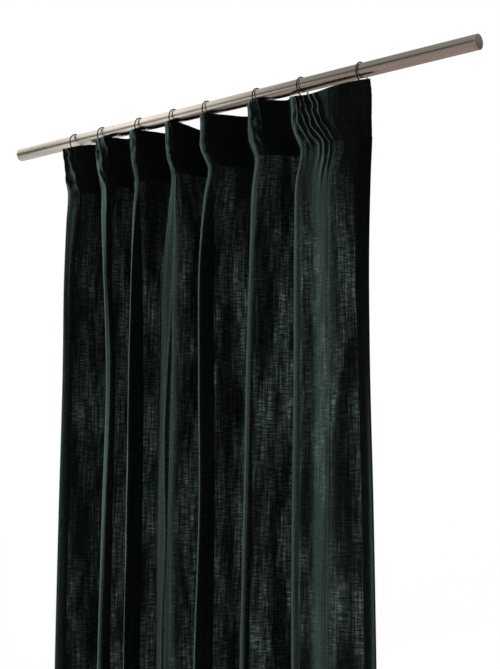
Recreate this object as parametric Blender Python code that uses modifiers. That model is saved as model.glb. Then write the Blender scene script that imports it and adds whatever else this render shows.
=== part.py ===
"""A room curtain panel hung from its rod by wire rings and pin hooks.

X runs along the rod from its left end, Y points towards the wall, Z is up, and the origin is the
centre of the rod's left end face. All lengths are in metres. The cloth hangs in deep folds: seen from
above, it runs across a short flat crown in front of each ring, back to a valley, and forward again.
"""

import math

import bmesh
import bpy
from mathutils import Vector

# Rod and its end plugs
ROD_LENGTH = 1.075
ROD_DIAMETER = 0.025
ROD_WALL = 0.0012
PLUG_FLANGE = 0.004
PLUG_SPIGOT = 0.022
PLUG_CHAMFER = 0.001

# Rings: a wire ring round the rod, with a small eye soldered under it
RING_INSIDE = 0.031
RING_WIRE = 0.0024
EYE_INSIDE = 0.0044
FIRST_RING = 0.1687
RING_SPACINGS = (0.0787, 0.1022, 0.0889, 0.0823, 0.1169, 0.0975, 0.1220)

# Pin hooks: over the eye, down behind the heading, and up again as the pin
HOOK_WIRE = 0.0014
HOOK_MOUTH = 0.005
PIN_TOP = 0.020
PIN_BOTTOM = 0.046

# Cloth
CLOTH = 0.0008
TAPE_THICKNESS = 0.0008
THREAD = 0.0006
PANEL_DROP = 2.130
HEADING_DEPTH = 0.090
HEADING_ABOVE_EYE = 0.0082
TAPE_DOWN = 0.012
TAPE_WIDTH = 0.050
SIDE_HEM = 0.025
BOTTOM_HEM = 0.100
STITCH_INSET = 0.003
RIGHT_OVERHANG = 0.0275

# Folds, as (heading, lower cloth): the cloth drifts forward as it comes down, so that it hangs plumb
CROWN_Y = (-0.0160, -0.0290)
VALLEY_Y = (0.0480, 0.0400)
WAVE_BACK_Y = (-0.0160, 0.0060)
WAVE_FRONT_Y = (-0.0160, -0.0280)
RIGHT_EDGE_Y = (-0.0160, -0.0020)
CROWN_LEFT = 0.008
CROWN_RIGHT = 0.005
LEFT_RETURN = (0.013, 0.034)
VALLEY_REACH = 0.038
WAVE_BACK_REACH = 0.028
WAVE_FRONT_REACH = 0.060
CROWN_ROUNDING = (0.005, 0.006)
VALLEY_ROUNDING = (0.012, 0.018)
WAVE_ROUNDING = 0.012
TOP_SAG = 0.008
SETTLED_DEPTH = 0.90

CLEARANCE = 0.0003

ROD_RADIUS = ROD_DIAMETER / 2
RING_RADIUS = (RING_INSIDE + RING_WIRE) / 2
EYE_RADIUS = (EYE_INSIDE + RING_WIRE) / 2
RING_Z = ROD_RADIUS + CLEARANCE - RING_INSIDE / 2
EYE_CENTRE_Z = RING_Z - RING_RADIUS - EYE_RADIUS
EYE_WIRE_Z = EYE_CENTRE_Z - EYE_RADIUS
HEADING_TOP_Z = EYE_WIRE_Z + HEADING_ABOVE_EYE
RING_PLACES = [FIRST_RING + sum(RING_SPACINGS[:i]) for i in range(len(RING_SPACINGS) + 1)]
RIGHT_EDGE = RING_PLACES[-1] + RIGHT_OVERHANG

# Middle of each layer behind the face cloth's own middle
FACING_BACK = CLOTH + CLEARANCE
TAPE_BACK = FACING_BACK + CLOTH / 2 + CLEARANCE + TAPE_THICKNESS / 2
PIN_BACK = TAPE_BACK + TAPE_THICKNESS / 2 + CLEARANCE + HOOK_WIRE / 2
THREAD_FRONT = -(CLOTH / 2 + CLEARANCE + THREAD / 2)


def clear_scene():
    for old in list(bpy.data.objects):
        bpy.data.objects.remove(old, do_unlink=True)
    for old in list(bpy.data.collections):
        bpy.data.collections.remove(old)


def new_collection(name):
    made = bpy.data.collections.new(name)
    bpy.context.scene.collection.children.link(made)
    return made


def finish(name, colour, roughness, metallic=0.0):
    material = bpy.data.materials.new(name)
    material.use_nodes = True
    shader = material.node_tree.nodes["Principled BSDF"]
    shader.inputs["Base Color"].default_value = (*colour, 1.0)
    shader.inputs["Roughness"].default_value = roughness
    shader.inputs["Metallic"].default_value = metallic
    material.diffuse_color = (*colour, 1.0)
    return material


def place(name, data, material, parent=None, location=(0, 0, 0)):
    """Puts a mesh or curve into the panel's collection at a place in the row frame."""
    made = bpy.data.objects.new(name, data)
    panel.objects.link(made)
    if not data.materials:
        data.materials.append(material)
    made.location = location
    if parent is not None:
        made.parent = parent
        made.location = Vector(location) - parent.location
    return made


def axis_empty(name, location):
    made = bpy.data.objects.new(name, None)
    panel.objects.link(made)
    made.location = location
    made.empty_display_size = 0.05
    return made


def smooth(mesh, angle=math.radians(35)):
    mesh.shade_smooth()
    mesh.set_sharp_from_angle(angle=angle)


def turned(name, profile, steps=48):
    """A shape turned about the rod's axis, from (along, radius) points that run round its section."""
    mesh = bpy.data.meshes.new(name)
    points = [(along, 0.0, radius) for along, radius in profile]
    edges = [(i, i + 1) for i in range(len(points) - 1)]
    mesh.from_pydata(points, edges, [])
    made = bpy.data.objects.new(name, mesh)
    panel.objects.link(made)
    screw = made.modifiers.new("Turn", "SCREW")
    screw.axis = "X"
    screw.steps = steps
    screw.render_steps = steps
    screw.use_merge_vertices = True
    screw.merge_threshold = 0.00001
    screw.use_smooth_shade = False
    return made


def settled(depth):
    """0 in the heading, 1 once the folds have taken their lower shape, with a smooth change between."""
    share = (depth - HEADING_DEPTH) / (SETTLED_DEPTH - HEADING_DEPTH)
    share = min(1.0, max(0.0, share))
    return share * share * (3 - 2 * share)


def between(pair, share):
    return pair[0] + (pair[1] - pair[0]) * share


def plan_corners(share):
    """The folded cloth from above, as (x, y, rounding reach, points in the rounding)."""
    crown, valley = between(CROWN_Y, share), between(VALLEY_Y, share)
    crown_reach, valley_reach = between(CROWN_ROUNDING, share), between(VALLEY_ROUNDING, share)
    first_crown = Vector((RING_PLACES[0] - CROWN_LEFT, crown))
    back_to_edge = Vector((-LEFT_RETURN[0], LEFT_RETURN[1]))
    corners = []
    for inset in (0, SIDE_HEM - STITCH_INSET, SIDE_HEM):
        on_return = first_crown + back_to_edge * (1 - inset / back_to_edge.length)
        corners.append((*on_return, 0, 1))
    for i, x in enumerate(RING_PLACES[:-1]):
        corners.append((x - CROWN_LEFT, crown, crown_reach, 3))
        corners.append((x + CROWN_RIGHT, crown, crown_reach, 3))
        if i < len(RING_PLACES) - 2:
            corners.append((x + CROWN_RIGHT + VALLEY_REACH, valley, valley_reach, 4))
    wave_back, wave_front = between(WAVE_BACK_Y, share), between(WAVE_FRONT_Y, share)
    last_fold = RING_PLACES[-2] + CROWN_RIGHT
    corners.append((last_fold + WAVE_BACK_REACH, wave_back, WAVE_ROUNDING, 3))
    corners.append((last_fold + WAVE_FRONT_REACH, wave_front, WAVE_ROUNDING, 3))
    edge = between(RIGHT_EDGE_Y, share)
    slope = (wave_front - edge) / (RIGHT_EDGE - last_fold - WAVE_FRONT_REACH)
    for inset in (SIDE_HEM, SIDE_HEM - STITCH_INSET, 0):
        corners.append((RIGHT_EDGE - inset, edge + slope * inset, 0, 1))
    return corners


def plan_line(share):
    """The corners joined by straight runs, each turned through a short curve."""
    corners = plan_corners(share)
    line = []
    for i, (x, y, reach, count) in enumerate(corners):
        corner = Vector((x, y))
        if not reach:
            line.append(corner)
            continue
        start = corner + (Vector(corners[i - 1][:2]) - corner).normalized() * reach
        end = corner + (Vector(corners[i + 1][:2]) - corner).normalized() * reach
        for k in range(count):
            t = k / (count - 1)
            line.append(start * (1 - t) ** 2 + corner * 2 * t * (1 - t) + end * t**2)
    return line


def moved_back(line, distance):
    """The plan line moved towards the wall, keeping its distance round each bend."""
    moved = []
    for i, point in enumerate(line):
        before = (point - line[max(i - 1, 0)]).normalized()
        after = (line[min(i + 1, len(line) - 1)] - point).normalized()
        along = (before + after).normalized()
        back = Vector((-along.y, along.x))
        run = after if after.length else before
        cosine = back.dot(Vector((-run.y, run.x)))
        moved.append(point + back * (distance / cosine))
    return moved


def cloth_line(depth, back=0.0):
    """Points across the whole cloth at one depth below its top edge, which sags in each valley."""
    line = plan_line(settled(depth))
    low, high = CROWN_Y[0], VALLEY_Y[0]
    tops = plan_line(0.0)
    sags = [TOP_SAG * min(1, max(0, (p.y - low) / (high - low))) for p in tops]
    kept = 1 - depth / PANEL_DROP
    moved = moved_back(line, back)
    return [Vector((p.x, p.y, HEADING_TOP_Z - depth - sag * kept)) for p, sag in zip(moved, sags)]


def cloth_depths(start, end):
    """The depths of a strip's rows: its own ends, and the rows that every strip between them shares."""
    steps = (0.12, 0.24, 0.38, 0.54, 0.76, 1.0)
    shared = [HEADING_DEPTH + (SETTLED_DEPTH - HEADING_DEPTH) * step for step in steps]
    shared = [HEADING_DEPTH, *shared, PANEL_DROP - BOTTOM_HEM]
    return [start, *[depth for depth in shared if start + 0.002 < depth < end - 0.002], end]


def cloth_strip(name, start, end, back, thickness, material, first=0, last=None):
    """A layer of cloth between two depths, lofted through its rows and given its thickness."""
    rows = [cloth_line(depth, back)[first:last] for depth in cloth_depths(start, end)]
    shape = bmesh.new()
    grid = [[shape.verts.new(point - hang.location) for point in row] for row in rows]
    for upper, lower in zip(grid, grid[1:]):
        for i in range(len(upper) - 1):
            shape.faces.new((upper[i], lower[i], lower[i + 1], upper[i + 1]))
    mesh = bpy.data.meshes.new(name)
    shape.to_mesh(mesh)
    shape.free()
    smooth(mesh)
    made = place(name, mesh, material, hang, hang.location)
    shell = made.modifiers.new("Thickness", "SOLIDIFY")
    shell.thickness = thickness
    shell.offset = 0.0
    shell.use_even_offset = True
    return made


def wire_curve(name, points, diameter, resolution=2):
    curve = bpy.data.curves.new(name, "CURVE")
    curve.dimensions = "3D"
    curve.bevel_depth = diameter / 2
    curve.bevel_resolution = resolution
    curve.use_fill_caps = True
    spline = curve.splines.new("POLY")
    spline.points.add(len(points) - 1)
    for point, place_ in zip(spline.points, points):
        point.co = (*place_, 1.0)
    return curve


def thread_line(name, points, material):
    local = [point - hang.location for point in points]
    return place(name, wire_curve(name, local, THREAD, 0), material, hang, hang.location)


def make_rod():
    nickel = finish("satin_nickel", (0.62, 0.59, 0.55), 0.24, 1.0)
    tube_ends = (PLUG_FLANGE + CLEARANCE, ROD_LENGTH - PLUG_FLANGE - CLEARANCE)
    bore = ROD_RADIUS - ROD_WALL
    section = [
        (tube_ends[0], ROD_RADIUS),
        (tube_ends[0], bore),
        (tube_ends[1], bore),
        (tube_ends[1], ROD_RADIUS),
        (tube_ends[0], ROD_RADIUS),
    ]
    tube = turned("rod_tube", section)
    tube.data.materials.append(nickel)
    steel = finish("plug_nickel", (0.60, 0.57, 0.53), 0.28, 1.0)
    spigot = bore - CLEARANCE
    plug_section = [
        (PLUG_FLANGE + PLUG_SPIGOT, 0.0),
        (PLUG_FLANGE + PLUG_SPIGOT, spigot),
        (PLUG_FLANGE, spigot),
        (PLUG_FLANGE, ROD_RADIUS),
        (PLUG_CHAMFER, ROD_RADIUS),
        (0.0, ROD_RADIUS - PLUG_CHAMFER),
        (0.0, 0.0),
    ]
    left = turned("left_end_plug", plug_section)
    left.data.materials.append(steel)
    right = turned("right_end_plug", [(-along, radius) for along, radius in reversed(plug_section)])
    right.location = (ROD_LENGTH, 0, 0)
    right.data.materials.append(steel)


def ring_mesh():
    """One wire ring with its eye, joined as the solder joins them, about a point on the rod's axis."""
    bpy.ops.mesh.primitive_torus_add(
        major_segments=30,
        minor_segments=6,
        major_radius=RING_RADIUS,
        minor_radius=RING_WIRE / 2,
        location=(0, 0, RING_Z),
        rotation=(0, math.pi / 2, 0),
    )
    ring = bpy.context.object
    bpy.ops.mesh.primitive_torus_add(
        major_segments=14,
        minor_segments=6,
        major_radius=EYE_RADIUS,
        minor_radius=RING_WIRE / 2,
        location=(0, 0, EYE_CENTRE_Z),
        rotation=(math.pi / 2, 0, 0),
    )
    eye = bpy.context.object
    for helper in (ring, eye):
        for holder in list(helper.users_collection):
            holder.objects.unlink(helper)
        cutters.objects.link(helper)
        helper.hide_render = True
        helper.display_type = "WIRE"
    join = ring.modifiers.new("Solder", "BOOLEAN")
    join.operation = "UNION"
    join.object = eye
    join.solver = "EXACT"
    bpy.context.view_layer.update()
    graph = bpy.context.evaluated_depsgraph_get()
    mesh = bpy.data.meshes.new_from_object(ring.evaluated_get(graph))
    mesh.transform(ring.matrix_world)
    mesh.name = "ring_with_eye"
    mesh.materials.clear()
    bpy.data.objects.remove(ring)
    smooth(mesh)
    return mesh


def make_rings():
    dark_wire = finish("dark_wire", (0.12, 0.11, 0.10), 0.35, 1.0)
    mesh = ring_mesh()
    for number, x in enumerate(RING_PLACES, 1):
        place(f"ring_{number}", mesh, dark_wire, None, (x, 0, 0))


def hook_points():
    """The hook's wire about the centre of the eye's lowest wire, in the plane across the rod."""
    radius = RING_WIRE + CLEARANCE + HOOK_WIRE / 2 + 0.0007
    top = RING_WIRE / 2 + CLEARANCE + HOOK_WIRE / 2
    centre_z = top - radius
    pin_y = CROWN_Y[0] + PIN_BACK
    bend = (-radius - pin_y) / 2
    bend_z = HEADING_ABOVE_EYE - TAPE_DOWN - PIN_BOTTOM + bend
    points = [Vector((0, radius, centre_z - HOOK_MOUTH))]
    for k in range(8):
        turn = math.pi * k / 7
        points.append(Vector((0, radius * math.cos(turn), centre_z + radius * math.sin(turn))))
    for k in range(7):
        turn = math.pi * k / 6
        y = (-radius + pin_y) / 2 + bend * math.cos(turn)
        points.append(Vector((0, y, bend_z - bend * math.sin(turn))))
    points.append(Vector((0, pin_y, bend_z + PIN_BOTTOM - PIN_TOP)))
    return points


def make_hooks():
    hook_steel = finish("hook_steel", (0.55, 0.55, 0.54), 0.30, 1.0)
    curve = wire_curve("pin_hook", hook_points(), HOOK_WIRE)
    for number, x in enumerate(RING_PLACES, 1):
        spot = (x, 0, EYE_WIRE_Z)
        place(f"hook_{number}", curve, hook_steel, hang, spot)


def make_cloth():
    face = finish("face_linen", (0.010, 0.014, 0.014), 0.85)
    double = finish("heading_linen", (0.004, 0.006, 0.006), 0.90)
    hem = finish("hem_linen", (0.008, 0.011, 0.011), 0.88)
    webbing = finish("heading_webbing", (0.020, 0.022, 0.022), 0.80)
    cotton = finish("sewing_thread", (0.015, 0.020, 0.020), 0.60)
    cloth_strip("face_cloth", 0.0, PANEL_DROP, 0.0, CLOTH, face)
    cloth_strip("heading_facing", 0.0, HEADING_DEPTH, FACING_BACK, CLOTH, double)
    tape_end = TAPE_DOWN + TAPE_WIDTH
    cloth_strip("heading_tape", TAPE_DOWN, tape_end, TAPE_BACK, TAPE_THICKNESS, webbing)
    hem_top = PANEL_DROP - BOTTOM_HEM
    cloth_strip("bottom_hem", hem_top, PANEL_DROP, FACING_BACK, CLOTH, hem)
    sides = (HEADING_DEPTH + CLEARANCE, hem_top - CLEARANCE)
    cloth_strip("left_side_hem", *sides, FACING_BACK, CLOTH, hem, first=0, last=3)
    cloth_strip("right_side_hem", *sides, FACING_BACK, CLOTH, hem, first=-3)
    for name, depth in (
        ("heading_stitch", HEADING_DEPTH - STITCH_INSET),
        ("bottom_hem_stitch", hem_top + STITCH_INSET),
    ):
        thread_line(name, cloth_line(depth, THREAD_FRONT), cotton)
    for name, column in (("left_side_stitch", 1), ("right_side_stitch", -2)):
        ends = (HEADING_DEPTH + STITCH_INSET, hem_top - STITCH_INSET)
        points = [cloth_line(depth, THREAD_FRONT)[column] for depth in cloth_depths(*ends)]
        thread_line(name, points, cotton)


clear_scene()
panel = new_collection("room_curtain_panel")
cutters = new_collection("cutters")
hang = axis_empty("hanging_line", (RING_PLACES[-1], 0, EYE_WIRE_Z))
make_rod()
make_rings()
make_hooks()
make_cloth()
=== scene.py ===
import collections
import math

import bmesh
import bpy
import numpy as np
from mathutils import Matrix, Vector


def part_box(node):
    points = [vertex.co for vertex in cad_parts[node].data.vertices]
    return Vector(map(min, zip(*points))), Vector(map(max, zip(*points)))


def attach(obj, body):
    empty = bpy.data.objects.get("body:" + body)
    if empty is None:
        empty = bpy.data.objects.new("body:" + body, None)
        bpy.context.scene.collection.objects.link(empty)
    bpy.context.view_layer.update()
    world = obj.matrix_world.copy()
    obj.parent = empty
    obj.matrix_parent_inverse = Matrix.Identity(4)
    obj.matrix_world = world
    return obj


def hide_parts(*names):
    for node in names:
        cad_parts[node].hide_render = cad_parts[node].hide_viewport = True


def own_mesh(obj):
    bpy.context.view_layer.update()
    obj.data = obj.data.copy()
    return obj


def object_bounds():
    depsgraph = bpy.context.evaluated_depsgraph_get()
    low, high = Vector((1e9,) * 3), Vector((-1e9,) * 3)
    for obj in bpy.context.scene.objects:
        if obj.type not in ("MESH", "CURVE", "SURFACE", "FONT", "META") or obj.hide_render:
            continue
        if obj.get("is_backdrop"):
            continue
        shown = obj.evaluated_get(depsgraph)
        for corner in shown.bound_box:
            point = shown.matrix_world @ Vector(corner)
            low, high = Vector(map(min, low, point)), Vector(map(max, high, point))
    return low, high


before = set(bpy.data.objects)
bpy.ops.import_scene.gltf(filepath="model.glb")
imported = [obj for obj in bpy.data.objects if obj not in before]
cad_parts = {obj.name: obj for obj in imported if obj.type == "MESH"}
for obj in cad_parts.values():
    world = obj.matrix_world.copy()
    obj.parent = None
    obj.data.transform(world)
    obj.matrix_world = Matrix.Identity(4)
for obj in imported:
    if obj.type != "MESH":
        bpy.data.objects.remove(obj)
CAD_LOW, CAD_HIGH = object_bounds()

# ---------------------------------------------------------------------------------------------
# Camera: stands to the right of the panel and a little below the rod, and looks left and up.
# A long lens keeps the folds upright.

camera = bpy.data.objects.new("camera", bpy.data.cameras.new("camera"))
bpy.context.scene.collection.objects.link(camera)
camera.location = (1.962, -1.629, -0.653)
camera.rotation_euler = (math.radians(90 + 6.3), 0, math.radians(39.5))
camera.data.sensor_width = 36
camera.data.lens = 66.03
bpy.context.scene.camera = camera
bpy.context.scene.view_settings.view_transform = "Standard"

# ---------------------------------------------------------------------------------------------
# Studio: a pale floor under the hem, a white surround, a tall soft light to the left of the panel
# and a weak one in front. What lights the panel and shows in the rod is a room with a window: bright
# on the left, dim on the right, and brown boards underfoot.

FLOOR_GAP = 0.015
FLOOR_SIZE = 60
LAMP_TINT = (0.91, 1.0, 0.985)
LAMPS = (
    # name, place, aimed at, width, height, watts
    ("window_light", (-3.0, -0.31, -0.3), (0.45, 0.0, -0.8), 0.6, 3.0, 860),
    ("front_light", (2.6, -3.2, 0.8), (0.5, 0.0, -0.7), 2.0, 2.0, 6),
)

for name, spot, target, width, height, watts in LAMPS:
    lamp = bpy.data.lights.new(name, "AREA")
    lamp.shape = "RECTANGLE"
    lamp.size = width
    lamp.size_y = height
    lamp.energy = watts
    lamp.color = LAMP_TINT
    light = bpy.data.objects.new(name, lamp)
    light.location = spot
    light.visible_glossy = False
    light.rotation_euler = (Vector(target) - Vector(spot)).to_track_quat("-Z", "Y").to_euler()
    bpy.context.scene.collection.objects.link(light)


def add_node(owner, kind, **settings):
    """A new shader node; a setting is a property of the node, or else a value for its socket."""
    node = owner.node_tree.nodes.new("ShaderNode" + kind)
    for key, value in settings.items():
        if hasattr(node, key):
            setattr(node, key, value)
        else:
            node.inputs[key.replace("_", " ").title()].default_value = value
    return node


def join(owner, start, end):
    owner.node_tree.links.new(start, end)


def spread(owner, value, low, high, to_low=0.0, to_high=1.0):
    """A value carried evenly from one range to another, and held at its ends."""
    node = add_node(owner, "MapRange", From_Min=low, From_Max=high, To_Min=to_low, To_Max=to_high)
    join(owner, value, node.inputs["Value"])
    return node.outputs["Result"]


def colour_ramp(owner, value, *stops):
    """A colour that runs through (place, colour) stops as the value rises."""
    ramp = add_node(owner, "ValToRGB")
    points = ramp.color_ramp.elements
    for point, (place, colour) in zip((points[0], points[1]), (stops[0], stops[-1])):
        point.position = place
        point.color = (*colour, 1)
    for place, colour in stops[1:-1]:
        points.new(place).color = (*colour, 1)
    join(owner, value, ramp.inputs["Fac"])
    return ramp.outputs["Color"]


def mixed(owner, share, first, second):
    """Two shaders mixed; the share is how much of the second there is."""
    mix = add_node(owner, "MixShader")
    join(owner, share, mix.inputs["Fac"])
    join(owner, first, mix.inputs[1])
    join(owner, second, mix.inputs[2])
    return mix.outputs["Shader"]


# The surround is the room as the panel meets it, and plain white as the camera does.
surround = bpy.data.worlds.new("surround")
bpy.context.scene.world = surround
surround.use_nodes = True
surround.node_tree.nodes.clear()
facing_way = add_node(surround, "SeparateXYZ")
join(surround, add_node(surround, "TexCoord").outputs["Generated"], facing_way.inputs["Vector"])
window_side = spread(surround, facing_way.outputs["X"], -0.42, -0.76, 0.35, 1.5)
room_colour = colour_ramp(
    surround, spread(surround, facing_way.outputs["Z"], -1.0, 1.0),
    (0.0, (0.20, 0.18, 0.15)), (0.58, (0.12, 0.10, 0.08)), (0.66, (0.62, 0.59, 0.52)),
    (0.76, (0.95, 0.93, 0.86)), (1.0, (0.95, 0.93, 0.86)),
)
ray = add_node(surround, "LightPath")
# Cloth takes little of it, since the lamps stand for the window that lights the cloth.
SHARE_KEPT_FROM_CLOTH = 0.78
on_cloth = add_node(surround, "Math", operation="MULTIPLY_ADD")
on_cloth.inputs[1].default_value = -SHARE_KEPT_FROM_CLOTH
on_cloth.inputs[2].default_value = 1.0
join(surround, ray.outputs["Is Diffuse Ray"], on_cloth.inputs[0])
strength = add_node(surround, "Math", operation="MULTIPLY")
join(surround, window_side, strength.inputs[0])
join(surround, on_cloth.outputs["Value"], strength.inputs[1])
room = add_node(surround, "Background")
join(surround, room_colour, room.inputs["Color"])
join(surround, strength.outputs["Value"], room.inputs["Strength"])
white = add_node(surround, "Background", Color=(1, 1, 1, 1))
room_or_white = mixed(
    surround, ray.outputs["Is Camera Ray"], room.outputs["Background"], white.outputs["Background"]
)
join(surround, room_or_white, add_node(surround, "OutputWorld").inputs["Surface"])

# The floor is pale as the camera sees it. The cloth is lit by brown boards. The rod mirrors a glow painted
# on them: painted shade on the boards underneath, and a painted pool of window light on the far ones to the
# left.
bpy.ops.mesh.primitive_plane_add(size=FLOOR_SIZE, location=(0, 0, CAD_LOW.z - FLOOR_GAP))
floor = bpy.context.object
floor.name = "studio_floor"
pale = bpy.data.materials.new("pale_floor")
pale.use_nodes = True
met_by = add_node(pale, "LightPath")
on_floor = add_node(pale, "SeparateXYZ")
join(pale, add_node(pale, "TexCoord").outputs["Object"], on_floor.inputs["Vector"])
# Painted reflection: a glowing colour along the floor, seen only in mirrors, with painted shade and painted
# window light.
painted_floor_reflection = colour_ramp(
    pale, spread(pale, on_floor.outputs["X"], -0.3, -4.9),
    (0.0, (0.40, 0.33, 0.30)), (0.11, (0.36, 0.29, 0.26)), (0.26, (0.13, 0.105, 0.09)),
    (0.40, (0.15, 0.13, 0.11)), (0.66, (1.0, 0.96, 0.90)), (1.0, (1.05, 1.02, 0.97)),
)
# The painted reflection glows, though the floor is no lamp.
painted_reflection_glow = add_node(pale, "Emission")
join(pale, painted_floor_reflection, painted_reflection_glow.inputs["Color"])
boards = add_node(pale, "BsdfDiffuse", Color=(0.30, 0.235, 0.20, 1))
around_it = mixed(pale, met_by.outputs["Is Glossy Ray"], boards.outputs["BSDF"], painted_reflection_glow.outputs["Emission"])
paint = pale.node_tree.nodes["Principled BSDF"]
paint.inputs["Base Color"].default_value = (0.90, 0.90, 0.89, 1)
paint.inputs["Roughness"].default_value = 0.9
paint.inputs["Emission Color"].default_value = (1, 1, 1, 1)
paint.inputs["Emission Strength"].default_value = 0.85
floor_look = mixed(pale, met_by.outputs["Is Camera Ray"], around_it, paint.outputs["BSDF"])
join(pale, floor_look, pale.node_tree.nodes["Material Output"].inputs["Surface"])
floor.data.materials.append(pale)
floor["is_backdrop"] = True

# ---------------------------------------------------------------------------------------------
# Rod: a drawn steel tube, plated with satin nickel. The plating keeps fine drawing lines that run
# along it, and is a little duller in some patches than in others.

tube_low, tube_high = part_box("rod_tube")
ROD_RADIUS = tube_high.z
TUBE_WALL = 0.0012
ROD_BORE = ROD_RADIUS - TUBE_WALL
TUBE_EDGE = 0.0003


def new_material(name, colour, roughness, metallic=0.0):
    material = bpy.data.materials.new(name)
    material.use_nodes = True
    shader = material.node_tree.nodes["Principled BSDF"]
    shader.inputs["Base Color"].default_value = (*colour, 1)
    shader.inputs["Roughness"].default_value = roughness
    shader.inputs["Metallic"].default_value = metallic
    material.diffuse_color = (*colour, 1)
    return material, shader


def drawn_nickel(name, dark, light, smooth_at, rough_at):
    """Satin nickel on a drawn tube: fine lines along X in its roughness, colour and surface."""
    material, shader = new_material(name, light, rough_at, 1.0)
    where = add_node(material, "TexCoord")
    stretch = add_node(material, "Mapping")
    stretch.inputs["Scale"].default_value = (4, 900, 900)
    lines = add_node(material, "TexNoise", Scale=1.0, Detail=4.0, Roughness=0.6)
    patches = add_node(material, "TexNoise", Scale=14.0, Detail=2.0)
    join(material, where.outputs["Object"], stretch.inputs["Vector"])
    join(material, stretch.outputs["Vector"], lines.inputs["Vector"])
    join(material, where.outputs["Object"], patches.inputs["Vector"])
    both = add_node(material, "Math", operation="MULTIPLY")
    join(material, lines.outputs["Fac"], both.inputs[0])
    join(material, patches.outputs["Fac"], both.inputs[1])
    tone = spread(material, both.outputs["Value"], 0.1, 0.4, smooth_at, rough_at)
    join(material, tone, shader.inputs["Roughness"])
    colour = colour_ramp(material, lines.outputs["Fac"], (0.3, dark), (0.7, light))
    join(material, colour, shader.inputs["Base Color"])
    grain = add_node(material, "Bump", Strength=0.12, Distance=0.00005)
    join(material, lines.outputs["Fac"], grain.inputs["Height"])
    join(material, grain.outputs["Normal"], shader.inputs["Normal"])
    return material


def new_piece(name, mesh, material):
    piece = bpy.data.objects.new(name, mesh)
    bpy.context.scene.collection.objects.link(piece)
    if not mesh.materials:
        mesh.materials.append(material)
    return piece


def turned_on_rod(name, section, sides=128):
    """A shape turned about the rod's axis from (along, radius) points that go round its section."""
    shape = bmesh.new()
    hoops = []
    for along, radius in section:
        if radius < 1e-9:
            hoops.append([shape.verts.new((along, 0, 0))] * sides)
            continue
        turns = [2 * math.pi * k / sides for k in range(sides)]
        hoops.append([shape.verts.new((along, radius * math.sin(t), radius * math.cos(t))) for t in turns])
    for hoop, following in zip(hoops, hoops[1:] + hoops[:1]):
        for k in range(sides):
            n = (k + 1) % sides
            ring = dict.fromkeys((hoop[k], hoop[n], following[n], following[k]))
            if len(ring) > 2:
                shape.faces.new(list(ring))
    bmesh.ops.recalc_face_normals(shape, faces=shape.faces)
    mesh = bpy.data.meshes.new(name)
    shape.to_mesh(mesh)
    shape.free()
    mesh.shade_smooth()
    mesh.set_sharp_from_angle(angle=math.radians(50))
    return mesh


tube_section = [
    (tube_low.x, ROD_BORE),
    (tube_low.x, ROD_RADIUS - TUBE_EDGE),
    (tube_low.x + TUBE_EDGE, ROD_RADIUS),
    (tube_high.x - TUBE_EDGE, ROD_RADIUS),
    (tube_high.x, ROD_RADIUS - TUBE_EDGE),
    (tube_high.x, ROD_BORE),
]
nickel = drawn_nickel("satin_nickel", (0.50, 0.47, 0.43), (0.72, 0.68, 0.63), 0.20, 0.34)
rod = new_piece("curtain_rod", turned_on_rod("curtain_rod", tube_section), nickel)
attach(rod, "rod")
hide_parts("rod_tube")

# ---------------------------------------------------------------------------------------------
# End plugs: turned caps with a spigot that pushes into the tube, and a thin flange that shows as a
# line round its end. Their flat faces go against the brackets.

PLUG_FLANGE = 0.004
PLUG_CORNER = 0.0009
SPIGOT_GAP = 0.0003

plug_nickel = drawn_nickel("plug_nickel", (0.48, 0.45, 0.42), (0.66, 0.62, 0.58), 0.24, 0.36)
for side_name in ("left", "right"):
    low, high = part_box(f"{side_name}_end_plug")
    outer, inward = (low.x, 1) if side_name == "left" else (high.x, -1)
    reach = high.x - low.x
    plug_section = [(0, 0), (0, ROD_RADIUS - PLUG_CORNER)]
    for k in range(1, 5):
        turn = math.pi / 2 * k / 4
        along = PLUG_CORNER * (1 - math.cos(turn))
        plug_section.append((along, ROD_RADIUS - PLUG_CORNER * (1 - math.sin(turn))))
    plug_section += [
        (PLUG_FLANGE, ROD_RADIUS),
        (PLUG_FLANGE, ROD_BORE - SPIGOT_GAP),
        (reach - 0.001, ROD_BORE - SPIGOT_GAP),
        (reach, ROD_BORE - SPIGOT_GAP - 0.001),
        (reach, 0),
    ]
    section = [(outer + inward * along, radius) for along, radius in plug_section]
    plug = new_piece(f"{side_name}_rod_plug", turned_on_rod(f"{side_name}_rod_plug", section), plug_nickel)
    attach(plug, "rod")
    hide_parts(f"{side_name}_end_plug")

# ---------------------------------------------------------------------------------------------
# Rings: round wire bent to a hoop and closed with solder, which also holds the small eye under it.
# They are plated a dark bronze that is worn a little lighter in spots.

RINGS = 8
RING_WIRE = 0.0024
SKIN_STEP = 0.00032
ring_boxes = [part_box(f"ring_{number}") for number in range(1, RINGS + 1)]
RING_X = [(low.x + high.x) / 2 for low, high in ring_boxes]
ring_low, ring_high = ring_boxes[0]
RING_RADIUS = ring_high.y - RING_WIRE / 2
RING_Z = ring_high.z - RING_WIRE / 2 - RING_RADIUS
EYE_WIRE_Z = ring_low.z + RING_WIRE / 2
EYE_RADIUS = (RING_Z - RING_RADIUS - EYE_WIRE_Z) / 2

dark_wire, dark_shader = new_material("dark_ring_wire", (0.05, 0.045, 0.04), 0.36, 0.5)
here = add_node(dark_wire, "TexCoord")
wear = add_node(dark_wire, "TexNoise", Scale=320.0, Detail=3.0)
join(dark_wire, here.outputs["Object"], wear.inputs["Vector"])
bronze = colour_ramp(
    dark_wire, wear.outputs["Fac"], (0.35, (0.012, 0.010, 0.009)), (0.72, (0.045, 0.038, 0.032))
)
join(dark_wire, bronze, dark_shader.inputs["Base Color"])
join(dark_wire, spread(dark_wire, wear.outputs["Fac"], 0.0, 1.0, 0.24, 0.46), dark_shader.inputs["Roughness"])


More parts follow.
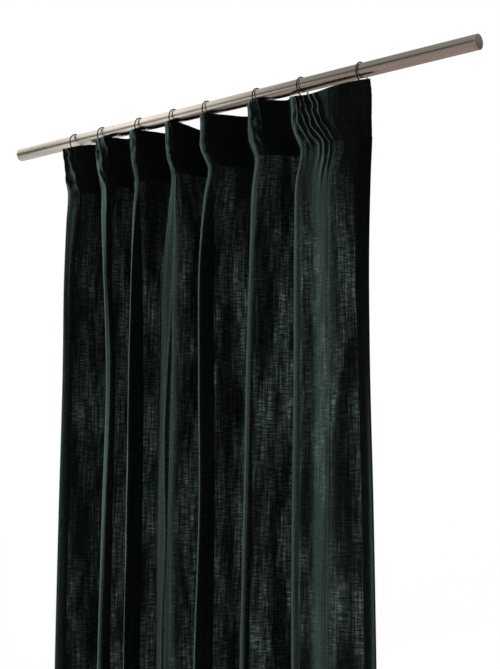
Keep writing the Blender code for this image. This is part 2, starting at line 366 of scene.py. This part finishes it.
def soldered_ring():
    """The hoop, the eye and the bead of solder between them, melted into one smooth skin."""
    half_turn = math.pi / 2
    bpy.ops.mesh.primitive_torus_add(
        major_segments=120, minor_segments=16, major_radius=RING_RADIUS, minor_radius=RING_WIRE / 2,
        location=(0, 0, RING_Z), rotation=(0, half_turn, 0),
    )
    hoop = bpy.context.object
    bpy.ops.mesh.primitive_torus_add(
        major_segments=48, minor_segments=16, major_radius=EYE_RADIUS, minor_radius=RING_WIRE / 2,
        location=(0, 0, EYE_WIRE_Z + EYE_RADIUS), rotation=(half_turn, 0, 0),
    )
    eye = bpy.context.object
    bpy.ops.mesh.primitive_uv_sphere_add(
        segments=24, ring_count=16, radius=1, location=(0, 0, RING_Z - RING_RADIUS - 0.0001),
    )
    bead = bpy.context.object
    bead.scale = (RING_WIRE * 0.62, RING_WIRE * 0.85, RING_WIRE * 0.60)
    hoop.select_set(True)
    eye.select_set(True)
    bead.select_set(True)
    bpy.context.view_layer.objects.active = hoop
    bpy.ops.object.join()
    remesh = hoop.modifiers.new("Melt", "REMESH")
    remesh.mode = "VOXEL"
    remesh.voxel_size = SKIN_STEP
    relax = hoop.modifiers.new("Relax", "SMOOTH")
    relax.factor = 0.6
    relax.iterations = 4
    bpy.context.view_layer.update()
    graph = bpy.context.evaluated_depsgraph_get()
    mesh = bpy.data.meshes.new_from_object(hoop.evaluated_get(graph))
    mesh.transform(hoop.matrix_world)
    mesh.materials.clear()
    mesh.shade_smooth()
    bpy.data.objects.remove(hoop)
    return mesh


ring_mesh = soldered_ring()
for number, x in enumerate(RING_X, 1):
    ring = new_piece(f"wire_ring_{number}", ring_mesh, dark_wire)
    ring.location = (x, 0, 0)
    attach(ring, f"ring_{number}")
    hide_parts(f"ring_{number}")

# ---------------------------------------------------------------------------------------------
# Pin hooks: spring steel wire that goes over the ring's eye, down the back of the heading, and up
# again as a sharpened pin. Each is pushed into the heading tape.

HOOK_WIRE = 0.0014
HOOK_CLEARANCE = 0.0003
HOOK_MOUTH = 0.005
PIN_LENGTH = 0.026
PIN_TAPER = 0.004
hook_low, hook_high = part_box("hook_1")

hook_steel, hook_shader = new_material("hook_steel", (0.56, 0.56, 0.55), 0.28, 1.0)
around = add_node(hook_steel, "TexCoord")
draw_marks = add_node(hook_steel, "TexNoise", Scale=900.0, Detail=2.0)
join(hook_steel, around.outputs["Object"], draw_marks.inputs["Vector"])
steel_tone = spread(hook_steel, draw_marks.outputs["Fac"], 0.0, 1.0, 0.2, 0.42)
join(hook_steel, steel_tone, hook_shader.inputs["Roughness"])


def pin_hook_mesh():
    """A hook about the centre of the eye's lowest wire: bend, shank, foot and sharpened pin."""
    over = hook_high.y - HOOK_WIRE / 2
    bend_z = RING_WIRE / 2 + HOOK_CLEARANCE + HOOK_WIRE / 2 - over
    pin_y = hook_low.y + HOOK_WIRE / 2
    foot = (-over - pin_y) / 2
    foot_z = hook_low.z - EYE_WIRE_Z + HOOK_WIRE / 2 + foot
    pin_end_z = foot_z + PIN_LENGTH
    line = [(over, bend_z - HOOK_MOUTH)]
    line += [
        (over * math.cos(math.pi * k / 14), bend_z + over * math.sin(math.pi * k / 14)) for k in range(15)
    ]
    foot_y = (-over + pin_y) / 2
    line += [
        (foot_y + foot * math.cos(math.pi * k / 12), foot_z - foot * math.sin(math.pi * k / 12))
        for k in range(13)
    ]
    line += [(pin_y, pin_end_z - PIN_TAPER), (pin_y, pin_end_z)]
    curve = bpy.data.curves.new("pin_hook", "CURVE")
    curve.dimensions = "3D"
    curve.bevel_depth = HOOK_WIRE / 2
    curve.bevel_resolution = 4
    curve.use_fill_caps = True
    spline = curve.splines.new("POLY")
    spline.points.add(len(line) - 1)
    for point, (y, z) in zip(spline.points, line):
        point.co = (0, y, z, 1)
    spline.points[-1].radius = 0.25
    holder = bpy.data.objects.new("pin_hook", curve)
    bpy.context.scene.collection.objects.link(holder)
    bpy.context.view_layer.update()
    mesh = bpy.data.meshes.new_from_object(holder.evaluated_get(bpy.context.evaluated_depsgraph_get()))
    bpy.data.objects.remove(holder)
    shape = bmesh.new()
    shape.from_mesh(mesh)
    bmesh.ops.remove_doubles(shape, verts=shape.verts, dist=0.00002)
    shape.to_mesh(mesh)
    shape.free()
    mesh.shade_smooth()
    mesh.set_sharp_from_angle(angle=math.radians(60))
    return mesh


hook_mesh = pin_hook_mesh()
for number, x in enumerate(RING_X, 1):
    hook = new_piece(f"pin_hook_{number}", hook_mesh, hook_steel)
    hook.location = (x, 0, EYE_WIRE_Z)
    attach(hook, "drape" if number == RINGS else f"hook_{number}")
    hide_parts(f"hook_{number}")

# ---------------------------------------------------------------------------------------------
# Face cloth: one width of open plain-weave linen, dyed a green black. Between the rings it hangs in
# deep folds: a short crown in front of each ring, a flank that runs back to a valley, and a return.
# The cloth is thin and slubby, so that light comes through where only one layer is in the way.

cloth_low, cloth_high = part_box("face_cloth")
CLOTH_TOP = cloth_high.z
DROP = cloth_high.z - cloth_low.z
RIGHT_EDGE = cloth_high.x
CLOTH = 0.0006
LAYER_STEP = 0.0008
HEADING = CLOTH_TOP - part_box("heading_facing")[0].z - CLOTH
HEM_TOP = CLOTH_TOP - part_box("bottom_hem")[1].z
SIDE_HEM = 0.025

# The folds are set at these depths below the top edge. Sizes of the folds are in millimetres. CROWN_Y
# is how far all the crowns stand in front of the rod's axis, as Y.
DEPTHS = (0.0, 0.06, 0.09, 0.15, 0.26, 0.45, 0.70, 0.93, 1.50, DROP)
CROWN_Y = (-16, -16, -13, -17, -20, -23, -27, -29, -29, -28)

# left: where the crown starts, from its ring, at each depth. The other pairs are for the top edge and
# the lower cloth: the crown's width, how far its left end turns back and its right end comes forward,
# where the valley is, and how far the top sags at the crown and in the valley (less than 0: it stands
# up). valley_back is for the top edge, the heading's foot and below it.
Fold = collections.namedtuple("Fold", "left width turned forward valley_back valley_at sag")
FOLDS = (
    Fold(
        left=(-10, -5, -1, 1, 1, 5, 5, 4, 4, 6), width=(34, 16), turned=(0, 0), forward=(-1, -2),
        valley_back=(8, 26, 36), valley_at=(0.78, 0.62), sag=(-1, -4),
    ),
    Fold(
        left=(-8, -5, 1, 8, 21, 37, 34, 31, 24, 19), width=(34, 20), turned=(2, 0), forward=(2, 1),
        valley_back=(12, 28, 36), valley_at=(0.50, 0.58), sag=(-5, -2),
    ),
    Fold(
        left=(-12, -10, -5, -5, -4, -5, -3, -4, -5, -3), width=(20, 12), turned=(1, 0), forward=(0, 8),
        valley_back=(40, 42, 40), valley_at=(0.52, 0.58), sag=(-7, -3),
    ),
    Fold(
        left=(-15, -12, -3, -5, -17, -18, -21, -19, -18, -16), width=(25, 68), turned=(4, 2), forward=(0, 3),
        valley_back=(46, 44, 40), valley_at=(0.40, 0.55), sag=(-6, 6),
    ),
    Fold(
        left=(-8, -6, 7, 1, -6, -4, 2, -5, -8, -7), width=(22, 12), turned=(1, 1), forward=(0, 5),
        valley_back=(38, 40, 40), valley_at=(0.56, 0.60), sag=(-2, 0),
    ),
    Fold(
        left=(-12, -10, -1, -3, -4, -9, -13, -19, -20, -15), width=(30, 20), turned=(2, 0), forward=(-2, 1),
        valley_back=(12, 30, 38), valley_at=(0.55, 0.58), sag=(-7, -3),
    ),
    Fold(
        left=(-11, -8, 4, -4, -6, -6, -8, -10, -8, -6), width=(14, 24), turned=(0, 0), forward=(-1, 1),
        valley_back=(0, 0, 0), valley_at=(0, 0), sag=(5, 0),
    ),
)
# The last stretch is not folded as deep: a shallow dip, and a broad front that turns to the edge.
# Each post is how far it lies right of the last crown, and how far back, at the top and lower down,
# and how far the top edge sags there.
LAST_STRETCH = (
    ((17, 12), (1, 2), 8),
    ((36, 26), (-2, 1), 9),
    ((58, 50), (-5, -5), 8),
    ((80, 82), (-4, -5), 5),
)
# The panel's right edge: how far back its hem starts, at the top and lower down, and then how far back
# the edge turns, and how far right it hangs, at each depth.
HEM_BACK = (1, 10)
EDGE_BACK = (4, 5, 9, 14, 13, 3, -2, -3, -3, -3)
EDGE_RIGHT = (-1, -2, -6, -10, -12, -5, 5, 9, 10, 10)
# Left of the first crown the cloth goes on to its edge: across and back, at the top and lower down.
LEFT_RETURN = (((-4, -4), (0, 0)), ((-7, -8), (0, 0)))
# The top edge leans out in front of the rings, and stands no higher than the rod leaves room for.
TOP_LEAN = 3.5
LEAN_DEPTH = 0.03
ROOM_AT = (0.0, 0.010, 0.018, 0.024)
ROOM = (0.0033, 0.0033, 0.0066, 0.0090)
# A sag of the top edge dies away over SAG_DEPTH, and where it stands up over LIFT_DEPTH.
SAG_DEPTH = 0.10
LIFT_DEPTH = 0.60
# The heading holds its folds stiffly, and from near its foot they ease into those of the lower cloth.
EASE_FROM = HEADING * 0.7
EASE_OVER = 0.22
VALLEY_HALF = 0.09


def along_depth(values, depths, at=DEPTHS):
    """A smooth curve through values set at some depths, read at other depths."""
    at, values = np.array(at), np.array(values, float)
    slopes = np.gradient(values, at)
    i = np.clip(np.searchsorted(at, depths, "right") - 1, 0, len(at) - 2)
    step = at[i + 1] - at[i]
    t = np.clip((depths - at[i]) / step, 0, 1)
    start = values[i] * (1 + 2 * t) * (1 - t) ** 2 + slopes[i] * step * t * (1 - t) ** 2
    end = values[i + 1] * t * t * (3 - 2 * t) + slopes[i + 1] * step * t * t * (t - 1)
    return start + end


def plan_posts(depths):
    """The posts that the cloth bends round, seen from above: rows, posts, (x, y, top sag) in metres."""
    t = np.clip((depths - EASE_FROM) / EASE_OVER, 0, 1)
    opened = t * t * (3 - 2 * t)

    def eased(pair):
        return pair[0] + (pair[1] - pair[0]) * opened

    crown = along_depth(CROWN_Y, depths) - TOP_LEAN * np.clip(1 - depths / LEAN_DEPTH, 0, 1.05) ** 2
    flat = np.zeros_like(depths)
    lefts = [ring * 1000 + along_depth(fold.left, depths) for ring, fold in zip(RING_X, FOLDS)]
    posts = []
    for across, back in reversed(LEFT_RETURN):
        posts.append((lefts[0] + eased(across), crown + eased(back), flat + FOLDS[0].sag[0]))
    for i, (left, fold) in enumerate(zip(lefts, FOLDS)):
        width, turned, forward = eased(fold.width), eased(fold.turned), eased(fold.forward)
        right = left + width
        posts.append((left, crown + turned, flat + fold.sag[0]))
        posts.append((left + width * 0.55, crown + turned * 0.45 - forward * 0.55, flat + fold.sag[0]))
        posts.append((right, crown - forward, flat + fold.sag[0]))
        if i == len(FOLDS) - 1:
            break
        valley = along_depth(fold.valley_back, depths, (0, HEADING, 0.35))
        gap, middle = lefts[i + 1] - right, eased(fold.valley_at)
        half, half_sag = (crown - forward + valley) / 2, max(sum(fold.sag) / 2, -3)
        posts.append((right + gap * middle * 0.5, half, flat + half_sag))
        posts.append((right + gap * (middle - VALLEY_HALF), valley, flat + fold.sag[1]))
        posts.append((right + gap * (middle + VALLEY_HALF), valley, flat + fold.sag[1]))
        posts.append((right + gap * (1 + middle) / 2, half, flat + half_sag))
    for across, back, sag in LAST_STRETCH:
        posts.append((right + eased(across), crown + eased(back), flat + sag))
    edge_x = RIGHT_EDGE * 1000 + along_depth(EDGE_RIGHT, depths)
    posts.append((edge_x - SIDE_HEM * 1000 - 1, crown + eased(HEM_BACK), flat + 3))
    posts.append((edge_x, crown + along_depth(EDGE_BACK, depths), flat + 5))
    return np.array(posts).transpose(2, 0, 1) / 1000


def bend_weights(places, posts):
    """How much each post counts at each place along the line, as in a springy strip laid round them."""
    i = np.clip(places.astype(int), 0, posts - 2)
    t = (places - i)[:, None]
    part = np.hstack([(1 - t) ** 3, 3 * t**3 - 6 * t**2 + 4, -3 * t**3 + 3 * t**2 + 3 * t + 1, t**3]) / 6
    weights = np.zeros((len(places), posts + 2))
    for k in range(4):
        weights[np.arange(len(places)), i + k] = part[:, k]
    weights[:, 1] += 2 * weights[:, 0]
    weights[:, 2] -= weights[:, 0]
    weights[:, -2] += 2 * weights[:, -1]
    weights[:, -3] -= weights[:, -1]
    return weights[:, 1:-1]


MEASURED_AT = 0.45
POSTS_A_FOLD = 7
post_count = plan_posts(np.array([MEASURED_AT])).shape[1]
measured_places = np.linspace(0, post_count - 1, 6000)
measured_line = bend_weights(measured_places, post_count) @ plan_posts(np.array([MEASURED_AT]))[0, :, :2]
measured_across = np.concatenate(
    [[0], np.cumsum(np.linalg.norm(np.diff(measured_line, axis=0), axis=1))]
)
CLOTH_WIDTH = float(measured_across[-1])
CROWNS = np.interp([3 + POSTS_A_FOLD * i for i in range(len(FOLDS))], measured_places, measured_across)

# Tucks that the hooks pull into the heading. Each is given by its fold, how far right of that crown's
# middle it starts at the top and where it has run to at the heading's foot, the depth where it has
# died away, its half width and its height, in millimetres but for the depth. It wanders as it falls.
TUCKS = (
    (1, -6, 6, 0.15, 3.0, 2.2),
    (1, -16, -10, 0.11, 2.8, 1.8),
    (2, -12, 2, 0.26, 3.0, 2.2),
    (2, 10, 22, 0.34, 3.0, 2.4),
    (2, -3, 9, 0.16, 2.6, 1.2),
    (4, 0, 3, 0.22, 3.2, 1.2),
    (5, 22, 24, 0.10, 2.8, 1.5),
    (6, 9, 16, 0.11, 2.8, 2.0),
    (6, -7, -4, 0.15, 3.2, 1.2),
    (7, 5, 19, 0.13, 2.6, 2.2),
    (7, 13, 30, 0.15, 2.4, 2.8),
    (7, 21, 41, 0.19, 2.6, 3.0),
    (7, 31, 53, 0.17, 2.5, 2.4),
    (7, 42, 66, 0.13, 2.8, 2.0),
)
# Creases that the cloth keeps from being folded and hung: long upright ones all over it.
LONG_CREASES = 190
SOFT_CRUMPLES = 200
CRUMPLES_A_CROWN = 16
chance = np.random.default_rng(41)
CREASES = []
for _ in range(LONG_CREASES):
    start = chance.uniform(0.05, DROP * 0.9)
    CREASES.append((
        chance.uniform(0, CLOTH_WIDTH), start, start + chance.uniform(0.25, 1.3),
        chance.uniform(0.003, 0.009), chance.uniform(-1, 1) * 0.0012,
        chance.uniform(-0.012, 0.012), chance.uniform(0, 6.28), chance.uniform(0.3, 0.8),
    ))
# Small crumples that the gathering pushes into the heading: sharp ones on the crowns, and soft ones
# between them.
CRUMPLES = []
for _ in range(SOFT_CRUMPLES):
    CRUMPLES.append((
        chance.uniform(0, CLOTH_WIDTH), chance.uniform(0, HEADING * 1.05), chance.uniform(0.005, 0.012),
        chance.uniform(0.006, 0.013), chance.uniform(-1, 1) * 0.0011, chance.uniform(-0.8, 0.8),
    ))
for crown in CROWNS:
    for _ in range(CRUMPLES_A_CROWN):
        CRUMPLES.append((
            crown + chance.normal(-0.003, 0.010), chance.uniform(0.002, HEADING * 1.1),
            chance.uniform(0.0028, 0.006), chance.uniform(0.005, 0.011),
            chance.uniform(-1, 1) * 0.0021, chance.uniform(-1.1, 1.1),
        ))


def creases(across, depth):
    """Height of the tucks, the crumples and the long creases at each point of a grid."""
    height = np.zeros(np.broadcast(across, depth).shape)
    for fold, top, foot, end, width, lift in TUCKS:
        wander = 1.3 * np.sin(depth / 0.007 + top) + 0.9 * np.sin(depth / 0.0041 + foot)
        line = CROWNS[fold - 1] + (top + (foot - top) * np.clip(depth / HEADING, 0, 1.2) + wander) / 1000
        fade = np.clip((end - depth) / (end * 0.6), 0, 1)
        height += lift / 1000 * fade * np.exp(-(((across - line) / width * 1000) ** 2))
    for middle, down, width, tall, lift, slant in CRUMPLES:
        off = across - middle - slant * (depth - down)
        height += lift * np.exp(-((off / width) ** 2) - ((depth - down) / tall) ** 2)
    for middle, start, end, width, lift, lean, phase, wave in CREASES:
        line = middle + lean * (depth - start) + 0.004 * np.sin(phase + depth / wave * 6.28)
        fade = np.clip((depth - start) / 0.12, 0, 1) * np.clip((end - depth) / 0.25, 0, 1)
        height += lift * fade * np.exp(-(((across - line) / width) ** 2))
    return height


def base_surface(across, depths):
    """The folded cloth with no creases: rows by columns by (x, y, z)."""
    places = np.interp(across, measured_across, measured_places)
    surface = np.einsum("cp,rpk->rck", bend_weights(places, post_count), plan_posts(depths))
    sag = np.maximum(surface[:, :, 2], -np.interp(np.abs(surface[:, :, 1]), ROOM_AT, ROOM))
    fades = np.where(sag > 0, SAG_DEPTH, LIFT_DEPTH)
    surface[:, :, 2] = CLOTH_TOP - depths[:, None] - sag * np.clip(1 - depths[:, None] / fades, 0, 1)
    return surface


def cloth_surface(across, depths, back=0.0):
    """Points of the cloth, or of a layer that lies a distance behind it, with creases. Places past an
    edge carry on straight, so that a turning can go round it."""
    across, depths = np.asarray(across, float), np.asarray(depths, float)
    small = 0.0004
    inner = np.clip(across, small, CLOTH_WIDTH - small)
    run = base_surface(inner + small, depths) - base_surface(inner - small, depths)
    fall = base_surface(inner, depths + small) - base_surface(inner, depths - small)
    normal = np.cross(fall, run)  # points to the front
    normal /= np.linalg.norm(normal, axis=2, keepdims=True)
    past = across - np.clip(across, 0, CLOTH_WIDTH)
    middle = base_surface(across, depths) + run / (2 * small) * past[None, :, None]
    height = creases(across[None, :], depths[:, None])
    return middle + normal * (height - back)[:, :, None]


def sheet_mesh(name, points, across, depths):
    """A mesh from a grid of points, with a map of the flat cloth in metres."""
    rows, columns = points.shape[:2]
    number = np.arange(rows * columns).reshape(rows, columns)
    faces = np.stack([number[:-1, :-1], number[1:, :-1], number[1:, 1:], number[:-1, 1:]], axis=-1)
    mesh = bpy.data.meshes.new(name)
    mesh.from_pydata(points.reshape(-1, 3).tolist(), [], faces.reshape(-1, 4).tolist())
    flat = np.stack(np.broadcast_arrays(np.asarray(across)[None, :], -np.asarray(depths)[:, None]), axis=-1)
    loops = np.empty(len(mesh.loops), np.int32)
    mesh.loops.foreach_get("vertex_index", loops)
    layer = mesh.uv_layers.new(name="flat_cloth")
    layer.uv.foreach_set("vector", flat.reshape(-1, 2)[loops].astype(np.float32).ravel())
    mesh.shade_smooth()
    return mesh


def linen(name, colour, thread_colour, sheen, openness):
    """Open plain-weave linen: slubby threads both ways, a soft sheen, and gaps that light passes.
    Its threads are counted to the metre of flat cloth, across and down."""
    material, shader = new_material(name, colour, 0.9)
    shader.inputs["Sheen Weight"].default_value = sheen
    shader.inputs["Sheen Roughness"].default_value = 0.45
    shader.inputs["Sheen Tint"].default_value = (0.66, 0.96, 0.93, 1)
    shader.inputs["Specular IOR Level"].default_value = 0.06
    flat = add_node(material, "UVMap", uv_map="flat_cloth")

    def threads(scale_x, scale_y, detail=3.0):
        stretch = add_node(material, "Mapping")
        stretch.inputs["Scale"].default_value = (scale_x, scale_y, 1)
        noise = add_node(material, "TexNoise", Scale=1.0, Detail=detail, Roughness=0.6)
        join(material, flat.outputs["UV"], stretch.inputs["Vector"])
        join(material, stretch.outputs["Vector"], noise.inputs["Vector"])
        return noise.outputs["Fac"]

    def between(value, low, high, to_low=0.0, to_high=1.0):
        return spread(material, value, low, high, to_low, to_high)

    def combined(operation, first, second):
        node = add_node(material, "Math", operation=operation)
        for socket, value in zip(node.inputs, (first, second)):
            if isinstance(value, float):
                socket.default_value = value
            else:
                join(material, value, socket)
        return node.outputs["Value"]

    warp = threads(700, 45)
    weft = threads(60, 620)
    upright = threads(190, 2.2)
    lines = combined("MAXIMUM", between(warp, 0.50, 0.72), between(weft, 0.50, 0.72))
    streaks = combined("MULTIPLY", between(upright, 0.35, 0.7), 0.5)
    tone = combined("ADD", combined("MULTIPLY", lines, 0.5), streaks)
    dyed = colour_ramp(material, tone, (0.0, colour), (1.0, thread_colour))
    join(material, dyed, shader.inputs["Base Color"])
    weave = add_node(material, "Bump", Strength=0.30, Distance=0.0004)
    join(material, combined("ADD", warp, weft), weave.inputs["Height"])
    ripple = add_node(material, "Bump", Strength=0.8, Distance=0.0012)
    join(material, upright, ripple.inputs["Height"])
    join(material, weave.outputs["Normal"], ripple.inputs["Normal"])
    join(material, ripple.outputs["Normal"], shader.inputs["Normal"])
    if openness:
        slubs = combined("MULTIPLY", between(threads(330, 16), 0.40, 0.68, 0.35),
                         between(threads(55, 400), 0.40, 0.68, 0.35))
        patches = between(threads(26, 5), 0.41, 0.60, 0.30)
        # The weave is closest at the left edge and under the heading, and opens away from them.
        place = add_node(material, "SeparateXYZ")
        join(material, flat.outputs["UV"], place.inputs["Vector"])
        opened = combined("MULTIPLY", between(place.outputs["X"], 0.0, CLOTH_WIDTH, 0.64, 1.0),
                          between(place.outputs["Y"], -HEADING, -0.32, 0.60, 1.0))
        weave_gaps = combined("MULTIPLY", slubs, patches)
        through = combined("MULTIPLY", weave_gaps, combined("MULTIPLY", opened, openness))
        gap = add_node(material, "BsdfTransparent", Color=(0.84, 1.0, 0.99, 1))
        woven = mixed(material, through, shader.outputs["BSDF"], gap.outputs["BSDF"])
        join(material, woven, material.node_tree.nodes["Material Output"].inputs["Surface"])
    return material


def finish_cloth(piece, nodes):
    """Gives a layer its thickness, hangs it from the last ring, and hides the part that it replaces."""
    shell = piece.modifiers.new("Thickness", "SOLIDIFY")
    shell.thickness = CLOTH
    shell.offset = 0.0
    shell.use_even_offset = True
    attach(piece, "drape")
    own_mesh(piece)
    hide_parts(*nodes)


# The rows and columns are closer where the cloth bends more: in the heading and round the crowns.
COLUMNS = 500
HEADING_ROWS = 26
even = np.linspace(0, CLOTH_WIDTH, 3000)
closeness = 1 + sum(1.3 * np.exp(-(((even - crown) / 0.03) ** 2)) for crown in CROWNS)
closeness += 1.3 * np.exp(-(((even - CROWNS[-1] - 0.05) / 0.04) ** 2))
share = np.cumsum(closeness) - closeness[0]
face_across = np.interp(np.linspace(0, share[-1], COLUMNS), share, even)
heading_depths = np.linspace(0, HEADING, HEADING_ROWS)
face_depths = np.concatenate([
    heading_depths[:-1], np.linspace(HEADING, 0.45, 24)[:-1], np.linspace(0.45, DROP, 48)
])
face_linen = linen("face_linen", (0.0036, 0.0056, 0.0054), (0.0175, 0.0265, 0.0255), 0.10, 0.47)
face_points = cloth_surface(face_across, face_depths)
face_mesh = sheet_mesh("linen_panel", face_points, face_across, face_depths)
face = new_piece("linen_panel", face_mesh, face_linen)
finish_cloth(face, ["face_cloth"])

# ---------------------------------------------------------------------------------------------
# Heading facing: the same linen turned down behind the top of the panel. It stiffens the heading
# and, being a second layer, lets no light through. It rolls over the top edge of the face.

TURN_RADIUS = LAYER_STEP / 2
turn = np.linspace(0, math.pi, 6)
roll_out, roll_back = TURN_RADIUS * np.sin(turn), TURN_RADIUS * (1 - np.cos(turn))

heading_linen = linen("heading_linen", (0.003, 0.0042, 0.0040), (0.015, 0.020, 0.019), 0.08, 0.0)
facing_depths = np.concatenate([-roll_out[:-1], heading_depths])
facing_back = np.concatenate([roll_back[:-1], np.full(HEADING_ROWS, LAYER_STEP)])[:, None]
facing_points = cloth_surface(face_across, facing_depths, facing_back)
facing_mesh = sheet_mesh("folded_heading", facing_points, face_across, facing_depths)
facing = new_piece("folded_heading", facing_mesh, heading_linen)
finish_cloth(facing, ["heading_facing"])

# ---------------------------------------------------------------------------------------------
# Heading tape: a woven strip sewn behind the heading. Raised pockets are woven into it, a row of
# short bars between two corded edges, and the pin hooks are pushed up into these.

TAPE_TOP = 0.012
TAPE_END = 0.062
POCKET_STEP = 0.024
POCKET_LIFT = 0.0007
CORD_LIFT = 0.0004

webbing = linen("heading_webbing", (0.012, 0.015, 0.015), (0.04, 0.046, 0.044), 0.12, 0.0)
tape_depths = np.linspace(TAPE_TOP, TAPE_END, 31)
bars = np.clip(3.2 * np.cos(2 * math.pi * face_across / POCKET_STEP) - 0.6, 0, 1)[None, :]
in_from_edge = np.minimum(tape_depths - TAPE_TOP, TAPE_END - tape_depths)[:, None]
pockets = np.clip((in_from_edge - 0.010) / 0.002, 0, 1) * bars * POCKET_LIFT
cords = np.exp(-(((in_from_edge - 0.004) / 0.0014) ** 2)) * CORD_LIFT
tape_points = cloth_surface(face_across, tape_depths, 2 * LAYER_STEP + pockets + cords)
tape = new_piece("hook_tape", sheet_mesh("hook_tape", tape_points, face_across, tape_depths), webbing)
finish_cloth(tape, ["heading_tape"])

# ---------------------------------------------------------------------------------------------
# Side hems: each side edge is turned in behind the face, pressed flat and stitched down. The double
# cloth shows as a darker band at the edge. They butt against the heading and the bottom hem.

hem_linen = linen("hem_linen", (0.004, 0.0058, 0.0056), (0.016, 0.022, 0.021), 0.10, 0.0)
HEM_COLUMNS = 10
BUTT_GAP = 0.0005
hem_rows = face_depths[(face_depths > HEADING + 4 * BUTT_GAP) & (face_depths < HEM_TOP - 4 * BUTT_GAP)]
hem_depths = np.concatenate([[HEADING + BUTT_GAP], hem_rows, [HEM_TOP - BUTT_GAP]])
in_from_side = np.concatenate([-roll_out[:-1], np.linspace(0, SIDE_HEM, HEM_COLUMNS)])
side_back = np.concatenate([roll_back[:-1], np.full(HEM_COLUMNS, LAYER_STEP)])
for side_name, across, back in (
    ("left", in_from_side, side_back), ("right", CLOTH_WIDTH - in_from_side[::-1], side_back[::-1])
):
    points = cloth_surface(across, hem_depths, back[None, :])
    hem_mesh = sheet_mesh(f"{side_name}_hem", points, across, hem_depths)
    hem = new_piece(f"{side_name}_hem", hem_mesh, hem_linen)
    finish_cloth(hem, [f"{side_name}_side_hem"])

# ---------------------------------------------------------------------------------------------
# Bottom hem: a deep turning at the foot of the panel, rolled under and pressed, which weights the
# folds so that they hang.

FOOT_ROWS = 8
foot_depths = np.concatenate([np.linspace(HEM_TOP, DROP, FOOT_ROWS), DROP + roll_out[::-1][1:]])
foot_back = np.concatenate([np.full(FOOT_ROWS, LAYER_STEP), roll_back[::-1][1:]])[:, None]
foot_points = cloth_surface(face_across, foot_depths, foot_back)
foot = new_piece("foot_hem", sheet_mesh("foot_hem", foot_points, face_across, foot_depths), hem_linen)
finish_cloth(foot, ["bottom_hem"])

# ---------------------------------------------------------------------------------------------
# Stitching: rows of lockstitch in dark thread through all the layers. Each stitch lies on the face
# and dips into the cloth at its ends, where the needle went through.

THREAD = 0.0005
STITCH = 0.003
IN_FROM_EDGE = 0.003
sewing_thread, thread_shader = new_material("sewing_thread", (0.005, 0.0065, 0.0062), 0.6)
thread_place = add_node(sewing_thread, "TexCoord")
twist = add_node(sewing_thread, "TexWave", Scale=900.0, Distortion=2.0)
join(sewing_thread, thread_place.outputs["Object"], twist.inputs["Vector"])
ply = add_node(sewing_thread, "Bump", Strength=0.5, Distance=0.0001)
join(sewing_thread, twist.outputs["Fac"], ply.inputs["Height"])
join(sewing_thread, ply.outputs["Normal"], thread_shader.inputs["Normal"])


def thread_mesh(name, line):
    curve = bpy.data.curves.new(name, "CURVE")
    curve.dimensions = "3D"
    curve.bevel_depth = THREAD / 2
    curve.bevel_resolution = 1
    curve.use_fill_caps = True
    spline = curve.splines.new("POLY")
    spline.points.add(len(line) - 1)
    spline.points.foreach_set("co", np.hstack([line, np.ones((len(line), 1))]).ravel())
    holder = bpy.data.objects.new(name, curve)
    bpy.context.scene.collection.objects.link(holder)
    bpy.context.view_layer.update()
    mesh = bpy.data.meshes.new_from_object(holder.evaluated_get(bpy.context.evaluated_depsgraph_get()))
    bpy.data.objects.remove(holder)
    mesh.shade_smooth()
    return mesh


stitch_rows = (
    ("heading_stitching", "heading_stitch", (0, CLOTH_WIDTH), (HEADING - IN_FROM_EDGE,) * 2),
    ("foot_stitching", "bottom_hem_stitch", (0, CLOTH_WIDTH), (HEM_TOP + IN_FROM_EDGE,) * 2),
    ("left_stitching", "left_side_stitch", (SIDE_HEM - IN_FROM_EDGE,) * 2, hem_depths[[0, -1]]),
    (
        "right_stitching", "right_side_stitch",
        (CLOTH_WIDTH - SIDE_HEM + IN_FROM_EDGE,) * 2, hem_depths[[0, -1]],
    ),
)
for name, node, across, depths in stitch_rows:
    length = max(across[1] - across[0], depths[1] - depths[0])
    steps = np.arange(0, length, STITCH / 4)
    dip = np.where(np.arange(len(steps)) % 4 == 0, 0.0003, -CLOTH / 2 - THREAD * 0.3)
    if across[0] == across[1]:
        line = cloth_surface(across[:1], depths[0] + steps, dip[:, None]).reshape(-1, 3)
    else:
        line = cloth_surface(across[0] + steps, depths[:1], dip[None, :]).reshape(-1, 3)
    row = new_piece(name, thread_mesh(name, line), sewing_thread)
    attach(row, "drape")
    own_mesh(row)
    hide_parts(node)

low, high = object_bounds()
